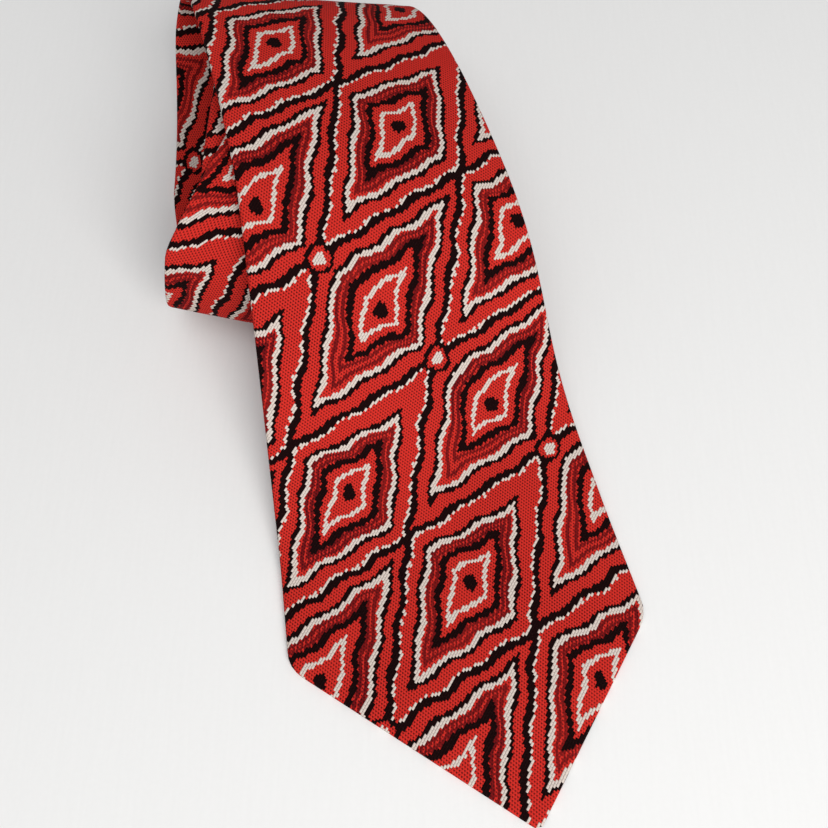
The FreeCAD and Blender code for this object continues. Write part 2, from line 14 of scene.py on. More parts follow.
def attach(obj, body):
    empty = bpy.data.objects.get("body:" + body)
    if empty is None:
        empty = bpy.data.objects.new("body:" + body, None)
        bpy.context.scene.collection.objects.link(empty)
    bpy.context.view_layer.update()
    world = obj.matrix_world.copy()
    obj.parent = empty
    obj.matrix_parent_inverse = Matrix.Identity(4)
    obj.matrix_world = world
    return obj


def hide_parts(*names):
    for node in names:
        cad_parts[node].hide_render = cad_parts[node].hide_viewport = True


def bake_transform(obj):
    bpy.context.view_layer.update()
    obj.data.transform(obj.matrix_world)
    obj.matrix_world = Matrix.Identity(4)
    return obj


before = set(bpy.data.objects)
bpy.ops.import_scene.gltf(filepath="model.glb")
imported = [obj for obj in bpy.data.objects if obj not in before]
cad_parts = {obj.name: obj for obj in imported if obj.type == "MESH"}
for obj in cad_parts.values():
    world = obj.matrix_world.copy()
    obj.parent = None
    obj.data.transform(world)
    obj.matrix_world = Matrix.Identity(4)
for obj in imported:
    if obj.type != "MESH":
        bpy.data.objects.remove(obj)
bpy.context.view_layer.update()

MM = 0.001

# ---------------------------------------------------------------- sizes, in millimetres
SHIFT = np.array([42.997, -128.207, -0.050])
TIE_LENGTH = 1420.0
LEAN = math.radians(14.0)
CORNER_LEFT = 56.0
CORNER_RIGHT = 46.0
CREST_ALONG = 196.0
CREST_LEFT = 40.5
CREST_RIGHT = 38.5
MIDDLE_HALF = 30.0
MIDDLE_ALONG = 430.0
NECK_HALF = 20.0
NECK_START = 730.0
NECK_END = 1000.0
TAIL_HALF = 27.0
TAIL_CORNER = 1380.0
LEAST_HALF = 2.5
HEM_WIDTH = 8.0
MITRE = 3.0

FOLD_LINE = 62.0
MID_HEIGHT = 0.95
LEFT_PLANE = -90.0
RIGHT_PLANE = 10.0
CREST_AWAY = {"left": 192.0, "right": 200.0}
CREST_HEIGHT = {"left": 59.0, "right": 34.5}
FOOT_HANDLE = {"left": 22.0, "right": 100.0}
CREST_HANDLE = {"left": 58.0, "right": 72.0}
FRONT_REACH = {"left": 47.5, "right": 73.0}
BACK_REACH = {"left": 58.0, "right": 62.0}
PITCH = 2.46
FIRST_WRAP_DROP = 3.2
SECOND_FRONT_GAP = 2.5
FRONT_LOW = 12.0
ROUNDNESS = 2.3
FRONT_SPREAD = [(0.0, 1.0), (0.9, 1.0), (1.3, 0.12), (9.0, 0.12)]
FRONT_DROOP = [(0.0, 1.0), (0.75, 1.0), (8.5, 0.0)]
MIDDLE_X = [(0.0, -50.0), (0.5, -81.0), (0.75, -79.0), (0.85, -74.0), (1.0, -56.0), (1.3, -54.0),
            (1.7, -73.0), (2.3, -73.0), (2.7, -66.0), (9.0, -66.0)]

CLOTH = 0.45
LEAST_HEIGHT = CLOTH / 2 + 0.02
HALF_BLADE = 1.25
HALF_ROLLED = 1.08
CROWN = 0.55
CLOTH_START = 0.9
FRONT_END = 128.0
OVER_END = 236.0
BLADE_END = 560.0
NECK_CLOTH_END = 960.0
SEAM_GAP = 0.3
LINING_JOIN = 800.0
TACK_ALONG = 122.0
TAIL_TACK_ALONG = 1325.0
KEEPER_ALONG = 226.0
KEEPER_WIDTH = 12.0
KEEPER_HALF = 19.0
LABEL_ALONG = 246.0
LABEL_DEPTH = 20.0
LABEL_HALF = 23.0
CAMERA_PLACE = np.array([-33.0, 21.0, 243.7])
CAMERA_TILT = math.radians(21.7)
CAMERA_LENS = 36.09

# How finely the rulings follow the drape and each wrap, and how far past the tie's end they run.
DRAPE_RULINGS = 48
WRAP_RULINGS = 72
WRAPS = 7.3


# ---------------------------------------------------------------- small helpers
def table(rows, value):
    """Straight lines between the rows of a small table."""
    return float(np.interp(value, [row[0] for row in rows], [row[1] for row in rows]))


def smooth(start, end, value):
    """0 before start, 1 after end and a smooth step between."""
    share = min(1.0, max(0.0, (value - start) / (end - start)))
    return share * share * (3.0 - 2.0 * share)


def rounded(value):
    """A cosine or sine made squarer, for a flattened loop."""
    return math.copysign(abs(value) ** (2.0 / ROUNDNESS), value)


# ---------------------------------------------------------------- the surface the strip lies on
def drape_point(side, share):
    """The profile from the fold line on the table (share 0) up to the crest of the roll (share 1)."""
    crest = CREST_AWAY[side]
    top = CREST_HEIGHT[side]
    ys = (FOLD_LINE, FOLD_LINE + FOOT_HANDLE[side], crest - CREST_HANDLE[side], crest)
    zs = (MID_HEIGHT, MID_HEIGHT, top, top)
    k = ((1 - share) ** 3, 3 * (1 - share) ** 2 * share, 3 * (1 - share) * share ** 2, share ** 3)
    return sum(a * b for a, b in zip(k, ys)), sum(a * b for a, b in zip(k, zs))


def wrap_point(side, turn):
    """The profile after the crest: turn 0 crest, 0.25 back fold, 0.5 underside, 0.75 front fold."""
    angle = 2.0 * math.pi * turn
    front = FRONT_REACH["left"]
    if side == "right":
        front += (FRONT_REACH["right"] - front) * table(FRONT_SPREAD, turn)
    front -= PITCH * max(turn - 0.75, 0.0) + SECOND_FRONT_GAP * smooth(1.3, 1.6, turn)
    back = BACK_REACH[side] - PITCH * max(turn - 0.25, 0.0)
    top = CREST_HEIGHT[side]
    ahead = rounded(math.sin(angle))
    lower = FRONT_LOW * table(FRONT_DROOP, turn)
    middle = (top + MID_HEIGHT) / 2.0 - lower * min(ahead, 0.0) ** 2
    if math.cos(angle) > 0:
        height = top - middle - PITCH * turn - FIRST_WRAP_DROP * smooth(0.5, 0.8, turn)
    else:
        height = middle - MID_HEIGHT - PITCH * max(turn - 0.5, 0.0)
    reach = back if ahead > 0 else front
    y = CREST_AWAY[side] + reach * ahead
    z = middle + height * rounded(math.cos(angle))
    return y, z


def profiles():
    """Turn, left point and right point of every ruling, from the table to inside the roll."""
    rows = [(-1.0, (y, MID_HEIGHT), (y, MID_HEIGHT)) for y in (-40.0, 0.0, FOLD_LINE / 2, FOLD_LINE)]
    for i in range(1, DRAPE_RULINGS + 1):
        share = i / DRAPE_RULINGS
        rows.append((share - 1.0, drape_point("left", share), drape_point("right", share)))
    for i in range(1, int(WRAPS * WRAP_RULINGS) + 1):
        turn = i / WRAP_RULINGS
        rows.append((turn, wrap_point("left", turn), wrap_point("right", turn)))
    return rows


def to_strip(x, y):
    """Flat coordinates (along, across) of a point of the unrolled surface."""
    return y * math.cos(LEAN) - x * math.sin(LEAN), x * math.cos(LEAN) + y * math.sin(LEAN)


def third_corner(a, b, to_a, to_b):
    """The point at two given distances from a and b, on the far side of the line from a to b."""
    base = math.dist(a, b)
    u = (to_a ** 2 - to_b ** 2 + base ** 2) / (2.0 * base)
    v = math.sqrt(max(to_a ** 2 - u ** 2, 0.0))
    ex = (b[0] - a[0]) / base
    ey = (b[1] - a[1]) / base
    return a[0] + u * ex - v * ey, a[1] + u * ey + v * ex


def unroll(left, right):
    """Flat places of both ends of every ruling, laid out one span at a time."""
    a = tuple(left[0][:2])
    b = tuple(right[0][:2])
    flat_left = [to_strip(*a)]
    flat_right = [to_strip(*b)]
    for i in range(1, len(left)):
        reach = [np.linalg.norm(left[i] - left[i - 1]), np.linalg.norm(left[i] - right[i - 1]),
                 np.linalg.norm(right[i] - left[i - 1]), np.linalg.norm(right[i] - right[i - 1])]
        a, b = third_corner(a, b, reach[0], reach[1]), third_corner(a, b, reach[2], reach[3])
        flat_left.append(to_strip(*a))
        flat_right.append(to_strip(*b))
    return np.array(flat_left), np.array(flat_right)


class Surface:
    """The ruled surface, which turns places on the strip into points and normals."""

    def __init__(self):
        rows = profiles()
        self.left = np.array([(LEFT_PLANE, row[1][0], row[1][1]) for row in rows])
        self.right = np.array([(RIGHT_PLANE, row[2][0], row[2][1]) for row in rows])
        self.flat_left, self.flat_right = unroll(self.left, self.right)
        middle = self.left + 0.4 * (self.right - self.left)
        normal = np.cross(self.right - self.left, np.gradient(middle, axis=0))
        self.normal = normal / np.linalg.norm(normal, axis=1)[:, None]
        self.set_middle([row[0] for row in rows])

    def set_middle(self, turns):
        """Where the strip's middle crosses each ruling, as a flat place."""
        wide = self.flat_right - self.flat_left
        share = -self.flat_left[:, 1] / wide[:, 1]
        for i, turn in enumerate(turns):
            wanted = (table(MIDDLE_X, turn) - LEFT_PLANE) / (RIGHT_PLANE - LEFT_PLANE)
            share[i] += (wanted - share[i]) * smooth(0.3, 0.6, turn)
        self.middle_along = self.flat_left[:, 0] + share * wide[:, 0]
        self.middle_across = self.flat_left[:, 1] + share * wide[:, 1]

    def place(self, along, across):
        """Points and normals of one row of places across the strip."""
        flat = across + np.interp(along, self.middle_along, self.middle_across)
        wide = self.flat_right - self.flat_left
        near = int(np.searchsorted(self.middle_along, along))
        low = max(near - 40, 0)
        high = min(near + 40, len(self.left))
        share = (flat[None, :] - self.flat_left[low:high, 1:2]) / wide[low:high, 1:2]
        place = self.flat_left[low:high, 0:1] + share * wide[low:high, 0:1]
        before = np.clip((place <= along).sum(axis=0) - 1, 0, high - low - 2)
        column = np.arange(len(flat))
        step = (along - place[before, column]) / (place[before + 1, column] - place[before, column])
        points = []
        for index in (before, before + 1):
            start = self.left[low + index]
            points.append(start + share[index, column][:, None] * (self.right[low + index] - start))
        step = step[:, None]
        normal = self.normal[low + before] * (1.0 - step) + self.normal[low + before + 1] * step
        point = points[0] * (1.0 - step) + points[1] * step
        return point + SHIFT, normal / np.linalg.norm(normal, axis=1)[:, None]


SURFACE = Surface()


# ---------------------------------------------------------------- the outline of the strip
def common_half():
    """Both half widths, from the middle of the roll to the tail's corner and its point."""
    return [(MIDDLE_ALONG, MIDDLE_HALF), (NECK_START, NECK_HALF), (NECK_END, NECK_HALF),
            (TAIL_CORNER, TAIL_HALF), (TIE_LENGTH - LEAST_HALF, LEAST_HALF)]


def half_width(side, along):
    """Half width on one side (-1 left, 1 right), with each corner a little rounded."""
    corner = CORNER_LEFT if side < 0 else CORNER_RIGHT
    crest = CREST_LEFT if side < 0 else CREST_RIGHT
    rows = [(0.0, 0.0), (corner, corner), (CREST_ALONG, crest)] + common_half()
    reach = min(3.0, along)
    spread = [table(rows, along + reach * step) for step in (-1.0, -0.5, 0.0, 0.5, 1.0)]
    return sum(spread) / len(spread)


def flap_gap(along, width):
    """Half the opening between the folded-in sides at the back, wide near the pointed ends."""
    open_blade = (width - HEM_WIDTH) * (1.0 - smooth(60.0, 118.0, along))
    open_tail = (width - HEM_WIDTH) * smooth(1330.0, TAIL_CORNER, along)
    return min(max(0.7, open_blade, open_tail), width * 0.75)


def half_thickness(along):
    """Half the folded tie's thickness: fuller in the blade than in the tight wraps."""
    return HALF_BLADE + (HALF_ROLLED - HALF_BLADE) * smooth(215.0, 300.0, along)


def section(along, columns):
    """One folded cross-section of the cloth, from flap to flap: across, height, and flat across."""
    left = half_width(-1, along)
    right = half_width(1, along)
    bend = min(half_thickness(along) - CLOTH / 2, 0.6 * min(left, right))
    gap = flap_gap(along, min(left, right))
    folds = np.linspace(0.0, math.pi, 9)
    flap = np.linspace(0.0, 1.0, 9)[:-1]
    across = []
    height = []
    for share in flap:
        across.append(-gap + share * (-left + bend + gap))
        height.append(-bend)
    for angle in folds:
        across.append(-left + bend - bend * math.sin(angle))
        height.append(-bend * math.cos(angle))
    for share in np.linspace(0.0, 1.0, columns)[1:-1]:
        across.append(-left + bend + share * (left + right - 2 * bend))
        height.append(bend + crown(along) * math.sin(math.pi * share) ** 0.7)
    for angle in folds:
        across.append(right - bend + bend * math.sin(angle))
        height.append(bend * math.cos(angle))
    for share in flap[::-1]:
        across.append(gap + share * (right - bend - gap))
        height.append(-bend)
    across = np.array(across)
    steps = np.hypot(np.diff(across), np.diff(height))
    flat = np.concatenate([[0.0], np.cumsum(steps)])
    face = len(flap) + len(folds)
    middle = np.interp(0.0, across[face - 1:face + columns], flat[face - 1:face + columns])
    return across, np.array(height), flat - middle


def crown(along):
    """How far the middle of the face stands above its two folded edges."""
    return CROWN * smooth(0.0, 60.0, along) * (1.0 - smooth(180.0, 300.0, along))


def ripple(point, along, across):
    """Slow waves of the relaxed cloth, along its normal."""
    loose = smooth(10.0, 70.0, along) * (1.0 - smooth(150.0, 210.0, along))
    slow = noise.noise(Vector(point) * 0.021 + Vector((3.1, 0.7, 0.0)))
    slack = noise.noise(Vector((along * 0.05, across * 0.022, 4.0)))
    wrapped = 0.18 * noise.noise(Vector((along * 0.045, across * 0.05, 9.0)))
    return loose * (0.75 * slow + 0.45 * slack + 0.35) + wrapped


# ---------------------------------------------------------------- meshes on the strip
def grid_faces(rows, columns):
    """Quads of a grid of rows and columns, facing along the surface's normals."""
    faces = []
    for i in range(rows - 1):
        for j in range(columns - 1):
            a = i * columns + j
            faces.append((a, a + 1, a + columns + 1, a + columns))
    return faces


def cloth_mesh(name, points, flats, columns, thickness, material):
    """A solid sheet from rows of points in millimetres, with its flat places as its UV map."""
    mesh = bpy.data.meshes.new(name)
    places = [tuple(p) for p in np.array(points) * MM]
    mesh.from_pydata(places, [], grid_faces(len(points) // columns, columns))
    layer = mesh.uv_layers.new(name="cloth")
    for loop in mesh.loops:
        layer.data[loop.index].uv = [value * MM for value in flats[loop.vertex_index]]
    mesh.materials.append(material)
    obj = bpy.data.objects.new(name, mesh)
    bpy.context.scene.collection.objects.link(obj)
    solid = obj.modifiers.new("thickness", "SOLIDIFY")
    solid.thickness = thickness * MM
    solid.offset = 0.0
    graph = bpy.context.evaluated_depsgraph_get()
    final = bpy.data.meshes.new_from_object(obj.evaluated_get(graph))
    obj.modifiers.clear()
    obj.data = final
    final.name = name
    for polygon in final.polygons:
        polygon.use_smooth = True
    final.set_sharp_from_angle(angle=math.radians(50.0))
    return obj


def row_places(start, end, step):
    """Even steps along the strip, with both ends exact."""
    return np.linspace(start, end, max(2, int(round((end - start) / step)) + 1))


def cut_place(along, flat):
    """Where a place of the folded strip was on the cloth as cut: hems turn over slanted edges."""
    side = -1.0 if flat < 0.0 else 1.0
    edge = half_width(side, along)
    beyond = max(abs(flat) - edge, 0.0)
    corner = CORNER_LEFT if side < 0 else CORNER_RIGHT
    turned = 1.0 - smooth(corner - MITRE, corner + MITRE, along)
    return along - turned * beyond, flat - side * turned * beyond


def place_row(along, across, height, flat, points, flats):
    """Adds one row of the strip to the lists of points and flat places."""
    base, normal = SURFACE.place(along, across)
    for k in range(len(across)):
        lift = height[k] + ripple(base[k] - SHIFT, along, across[k])
        point = base[k] + normal[k] * lift
        point[2] = max(point[2], LEAST_HEIGHT)
        points.append(point)
        flats.append(cut_place(along, flat[k]))


def folded_cloth(name, start, end, step, columns, material):
    """A length of the outer cloth, folded round to the back on both sides."""
    points = []
    flats = []
    for along in row_places(start, end, step):
        across, height, flat = section(along, columns)
        place_row(along, across, height, flat, points, flats)
    count = len(across)
    return cloth_mesh(name, points, flats, count, CLOTH, material)


def flat_band(name, start, end, step, inset, height, thickness, material, half=None):
    """A plain layer inside or behind the strip, at a fixed height from its middle surface."""
    points = []
    flats = []
    columns = 15
    for along in row_places(start, end, step):
        left = half if half else max(half_width(-1, along) - inset, 0.8)
        right = half if half else max(half_width(1, along) - inset, 0.8)
        across = np.linspace(-left, right, columns)
        place_row(along, across, np.full(columns, height), across, points, flats)
    return cloth_mesh(name, points, flats, columns, thickness, material)


def flat_area(start, end, cut_half):
    """Area in square metres of a length of the strip whose half width is cut_half(along)."""
    places = row_places(start, end, 4.0)
    widths = np.array([cut_half(along) for along in places])
    return float(np.sum((widths[1:] + widths[:-1]) / 2 * np.diff(places))) * MM * MM


def folded_width(along):
    """Width that the folded cloth was cut to, its folds and flaps laid flat."""
    flat = section(along, 30)[2]
    return flat[-1] - flat[0]


def band_width(inset):
    """The width function of a plain layer inset from both edges."""
    def width(along):
        return max(half_width(-1, along) + half_width(1, along) - 2 * inset, 1.6)
    return width


def declare(start, end, width):
    """Works out the widest cut and the area of a length of cloth, and keeps neither."""
    places = row_places(start, end, 4.0)
    widest = max(width(along) for along in places) * MM
    area = flat_area(start, end, width)


# ---------------------------------------------------------------- materials
class Graph:
    """A material's node tree, with short calls for the nodes it uses."""

    def __init__(self, name):
        self.material = bpy.data.materials.new(name)
        self.material.use_nodes = True
        self.tree = self.material.node_tree
        self.shader = self.tree.nodes["Principled BSDF"]

    def feed(self, value, socket):
        if isinstance(value, bpy.types.NodeSocket):
            self.tree.links.new(value, socket)
        else:
            socket.default_value = value

    def math(self, kind, *values):
        node = self.tree.nodes.new("ShaderNodeMath")
        node.operation = kind
        for value, socket in zip(values, node.inputs):
            self.feed(value, socket)
        return node.outputs[0]

    def total(self, *values):
        result = values[0]
        for value in values[1:]:
            result = self.math("ADD", result, value)
        return result

    def cloth_place(self):
        """Along and across, in millimetres, from the strip's own UV map."""
        uv = self.tree.nodes.new("ShaderNodeUVMap")
        uv.uv_map = "cloth"
        split = self.tree.nodes.new("ShaderNodeSeparateXYZ")
        self.feed(uv.outputs[0], split.inputs[0])
        along = self.math("MULTIPLY", split.outputs[0], 1.0 / MM)
        across = self.math("MULTIPLY", split.outputs[1], 1.0 / MM)
        return along, across

    def object_place(self):
        return self.tree.nodes.new("ShaderNodeTexCoord").outputs["Object"]

    def vector(self, x, y, z=0.0):
        node = self.tree.nodes.new("ShaderNodeCombineXYZ")
        for value, socket in zip((x, y, z), node.inputs):
            self.feed(value, socket)
        return node.outputs[0]

    def noise(self, place, scale, detail=2.0):
        node = self.tree.nodes.new("ShaderNodeTexNoise")
        self.feed(place, node.inputs["Vector"])
        node.inputs["Scale"].default_value = scale
        node.inputs["Detail"].default_value = detail
        return node.outputs[0]

    def ramp(self, value, start, end):
        """0 before start and 1 after end, with a smooth step between."""
        node = self.tree.nodes.new("ShaderNodeMapRange")
        node.interpolation_type = "SMOOTHSTEP"
        self.feed(value, node.inputs[0])
        node.inputs[1].default_value = start
        node.inputs[2].default_value = end
        return node.outputs[0]

    def mix(self, share, first, second):
        node = self.tree.nodes.new("ShaderNodeMix")
        node.data_type = "RGBA"
        self.feed(share, node.inputs[0])
        self.feed(first, node.inputs[6])
        self.feed(second, node.inputs[7])
        return node.outputs[2]

    def blend_number(self, share, first, second):
        """A number that goes from first to second as share goes from 0 to 1."""
        return self.math("MULTIPLY_ADD", share, second - first, first)

    def bump(self, height, distance, strength=1.0):
        node = self.tree.nodes.new("ShaderNodeBump")
        self.feed(height, node.inputs["Height"])
        node.inputs["Distance"].default_value = distance * MM
        node.inputs["Strength"].default_value = strength
        self.feed(node.outputs[0], self.shader.inputs["Normal"])

    def finish(self, colour, roughness, sheen=0.0, gloss=0.25):
        self.feed(colour, self.shader.inputs["Base Color"])
        self.feed(roughness, self.shader.inputs["Roughness"])
        self.shader.inputs["Sheen Weight"].default_value = sheen
        self.shader.inputs["Sheen Roughness"].default_value = 0.45
        self.shader.inputs["Specular IOR Level"].default_value = gloss
        return self.material


RED = (0.600, 0.0260, 0.0185, 1.0)
BLACK = (0.0060, 0.0012, 0.0014, 1.0)
IVORY = (0.650, 0.560, 0.500, 1.0)
MAROON = (0.150, 0.0045, 0.0060, 1.0)

# The woven repeat: diamonds 44 wide and 100 tall, each row half a diamond over from the last.
CELL_WIDE = 44.0
CELL_TALL = 100.0
DOT_ALONG = 66.6
DOT_ACROSS = -0.8
# The cloth is cut on the bias and has sheared a little: how far along and across the strip one
# millimetre of weft and of warp goes.
WEFT_STEP = (-0.788, 0.637)
WARP_STEP = (0.683, 0.666)
FLOAT_WIDE = 0.70
FLOAT_TALL = 1.15
FLOAT_SLANT = 0.45
TWILL_ROW = 0.87
TWILL_DASH = 0.84
SHADOW_RISE = 0.9

# Each diamond line: half width, then height above and below the dot in even rows and in odd rows.
INNER_DIAMOND = (5.4, (10.4, 13.75), (13.75, 10.6))
DARK_DIAMOND = (9.8, (17.9, 20.8), (24.6, 17.5))
FIRST_SHADOW = (11.8, (20.9, 23.6), (27.6, 21.6))
SECOND_SHADOW = (13.6, (24.2, 27.2), (31.8, 27.0))
OUTER_DIAMOND = (15.6, (29.0, 34.2), (39.0, 35.6))


def weave_place(g):
    """Weft and warp distances from one dot, in millimetres, of a place on the strip."""
    along, across = g.cloth_place()
    along = g.math("SUBTRACT", along, DOT_ALONG)
    across = g.math("SUBTRACT", across, DOT_ACROSS)
    size = WEFT_STEP[0] * WARP_STEP[1] - WEFT_STEP[1] * WARP_STEP[0]
    weft = g.math("ADD", g.math("MULTIPLY", along, WARP_STEP[1] / size),
                  g.math("MULTIPLY", across, -WARP_STEP[0] / size))
    warp = g.math("ADD", g.math("MULTIPLY", across, WEFT_STEP[0] / size),
                  g.math("MULTIPLY", along, -WEFT_STEP[1] / size))
    return weft, warp


def float_centre(g, weft, warp):
    """The middle of the warp float that a place lies in, which gives every line its stepped edge."""
    column = g.math("FLOOR", g.math("DIVIDE", weft, FLOAT_WIDE))
    slanted = g.math("DIVIDE", g.math("MULTIPLY_ADD", column, FLOAT_SLANT, warp), FLOAT_TALL)
    row = g.math("FLOOR", slanted)
    centre_weft = g.math("MULTIPLY", g.math("ADD", column, 0.5), FLOAT_WIDE)
    centre_warp = g.math("MULTIPLY", g.math("ADD", row, 0.5), FLOAT_TALL)
    centre_warp = g.math("SUBTRACT", centre_warp, g.math("MULTIPLY", column, FLOAT_SLANT))
    return centre_weft, centre_warp, row, slanted


def wander(g, weft, warp):
    """The lines' S-shaped wander to either side."""
    swing = g.math("SINE", g.math("MULTIPLY", warp, 2.0 * math.pi / 13.5))
    loose = g.noise(g.vector(weft, warp), 0.11, 1.0)
    loose = g.math("MULTIPLY", g.math("SUBTRACT", loose, 0.5), 2.2)
    return g.total(weft, g.math("MULTIPLY", swing, 0.55), loose)


def cell_place(g, weft, warp):
    """The place inside its own diamond cell, the row's parity, and the distance to the cell's edge."""
    x = g.math("DIVIDE", weft, CELL_WIDE)
    y = g.math("DIVIDE", warp, CELL_TALL)
    u = g.math("ADD", y, x)
    v = g.math("SUBTRACT", y, x)
    i = g.math("ROUND", u)
    j = g.math("ROUND", v)
    u = g.math("SUBTRACT", u, i)
    v = g.math("SUBTRACT", v, j)
    odd = g.math("PINGPONG", g.math("ADD", i, j), 1.0)
    over = g.math("MULTIPLY", g.math("SUBTRACT", u, v), CELL_WIDE / 2.0)
    up = g.math("MULTIPLY", g.math("ADD", u, v), CELL_TALL / 2.0)
    inside = g.math("MAXIMUM", g.math("ABSOLUTE", u), g.math("ABSOLUTE", v))
    slope = 1.0 / math.hypot(1.0 / CELL_WIDE, 1.0 / CELL_TALL)
    edge = g.math("MULTIPLY", g.math("SUBTRACT", 0.5, inside), slope)
    return over, up, odd, edge


def diamond_distance(g, shape, over, up, odd):
    """Signed distance in millimetres from a diamond line: negative inside it."""
    wide, even_row, odd_row = shape
    above = g.blend_number(odd, 1.0 / even_row[0], 1.0 / odd_row[0])
    below = g.blend_number(odd, -1.0 / even_row[1], -1.0 / odd_row[1])
    tall = g.math("MAXIMUM", g.math("MULTIPLY", up, above), g.math("MULTIPLY", up, below))
    reach = g.math("ADD", g.math("DIVIDE", g.math("ABSOLUTE", over), wide), tall)
    slope = 1.0 / math.hypot(1.0 / wide, 1.0 / even_row[1])
    return g.math("MULTIPLY", g.math("SUBTRACT", reach, 1.0), slope)


def between(g, value, low, high):
    """1 where a value lies between two limits, otherwise 0."""
    return g.math("MULTIPLY", g.math("GREATER_THAN", value, low), g.math("LESS_THAN", value, high))


def crossing_distance(g, over, up, odd):
    """Distance from the nearest ringed crossing: beside odd cells, above and below even ones."""
    sideways = g.math("SUBTRACT", g.math("ABSOLUTE", over), g.math("MULTIPLY", odd, CELL_WIDE / 2.0))
    even = g.math("SUBTRACT", 1.0, odd)
    upward = g.math("SUBTRACT", g.math("ABSOLUTE", up), g.math("MULTIPLY", even, CELL_TALL / 2.0))
    squares = g.math("ADD", g.math("POWER", g.math("ABSOLUTE", sideways), 2.0),
                     g.math("POWER", g.math("ABSOLUTE", g.math("MULTIPLY", upward, 0.85)), 2.0))
    return g.math("SQRT", squares)


def shadow_lines(g, weft, warp):
    """Two thin lines of the ground weave, in maroon, outside each black diamond."""
    column = g.math("ADD", g.math("FLOOR", g.math("DIVIDE", weft, FLOAT_WIDE)), 0.5)
    stepped = g.math("MULTIPLY", column, FLOAT_WIDE)
    rise = g.math("MULTIPLY_ADD", g.math("SUBTRACT", weft, stepped), SHADOW_RISE, warp)
    over, up, odd, _edge = cell_place(g, wander(g, stepped, rise), rise)
    first = g.math("ABSOLUTE", diamond_distance(g, FIRST_SHADOW, over, up, odd))
    second = g.math("ABSOLUTE", diamond_distance(g, SECOND_SHADOW, over, up, odd))
    near = g.math("MINIMUM", first, second)
    return g.math("SUBTRACT", 1.0, g.ramp(near, 0.40, 0.70))


def woven_pattern(g, weft, warp):
    """Colour of the woven pattern, and 1 where ivory or black warp floats lie on the red ground."""
    centre_weft, centre_warp, row, slanted = float_centre(g, weft, warp)
    over, up, odd, edge = cell_place(g, wander(g, centre_weft, centre_warp), centre_warp)
    shadow = shadow_lines(g, weft, warp)
    tooth = g.math("LESS_THAN", g.math("PINGPONG", row, 1.0), 0.5)
    crossing = crossing_distance(g, over, up, odd)
    outer = diamond_distance(g, OUTER_DIAMOND, over, up, odd)
    dark = diamond_distance(g, DARK_DIAMOND, over, up, odd)
    inner = diamond_distance(g, INNER_DIAMOND, over, up, odd)
    dot = g.math("SQRT", g.math("ADD", g.math("MULTIPLY", over, over),
                                g.math("MULTIPLY", g.math("MULTIPLY", up, up), 0.8)))
    teeth = g.math("MULTIPLY", between(g, edge, 0.9, 1.9),
                   g.math("MAXIMUM", tooth, g.math("LESS_THAN", edge, 1.45)))
    even = g.math("SUBTRACT", 1.0, odd)
    layers = [
        (shadow, MAROON),
        (g.math("MULTIPLY", teeth, even), IVORY),
        (g.math("LESS_THAN", edge, 1.0), BLACK),
        (between(g, outer, 0.0, 1.30), BLACK),
        (between(g, outer, -1.35, 0.1), IVORY),
        (between(g, dark, -0.95, 0.95), BLACK),
        (between(g, inner, -0.65, 0.65), IVORY),
        (g.math("LESS_THAN", dot, 2.1), BLACK),
        (g.math("LESS_THAN", crossing, 4.1), BLACK),
        (g.math("LESS_THAN", crossing, 2.9), RED),
        (g.math("LESS_THAN", crossing, 1.7), IVORY),
    ]
    colour = RED
    floats = 0.0
    for mask, shade in layers:
        colour = g.mix(mask, colour, shade)
        level = 0.0 if shade in (RED, MAROON) else 1.0
        kept = g.math("MULTIPLY", floats, g.math("SUBTRACT", 1.0, mask))
        floats = g.math("MULTIPLY_ADD", mask, level, kept)
    return colour, floats, slanted


def ground_twill(g, weft, warp):
    """Short raised dashes of the ground, half a dash over in every next row."""
    row = g.math("FLOOR", g.math("DIVIDE", warp, TWILL_ROW))
    ridge = g.math("SINE", g.math("MULTIPLY", warp, 2.0 * math.pi / TWILL_ROW))
    shifted = g.math("MULTIPLY_ADD", row, TWILL_DASH / 2.0, weft)
    dash = g.math("SINE", g.math("MULTIPLY", shifted, 2.0 * math.pi / TWILL_DASH))
    return g.math("MULTIPLY_ADD", dash, 0.5, g.math("MULTIPLY", ridge, 0.5))


def float_relief(g, weft, slanted):
    """The rounded top of each long warp float."""
    side = g.math("ABSOLUTE", g.math("SINE", g.math("MULTIPLY", weft, math.pi / FLOAT_WIDE)))
    end = g.math("ABSOLUTE", g.math("SINE", g.math("MULTIPLY", slanted, math.pi)))
    return g.math("MULTIPLY", g.math("POWER", side, 0.6), g.math("POWER", end, 0.35))


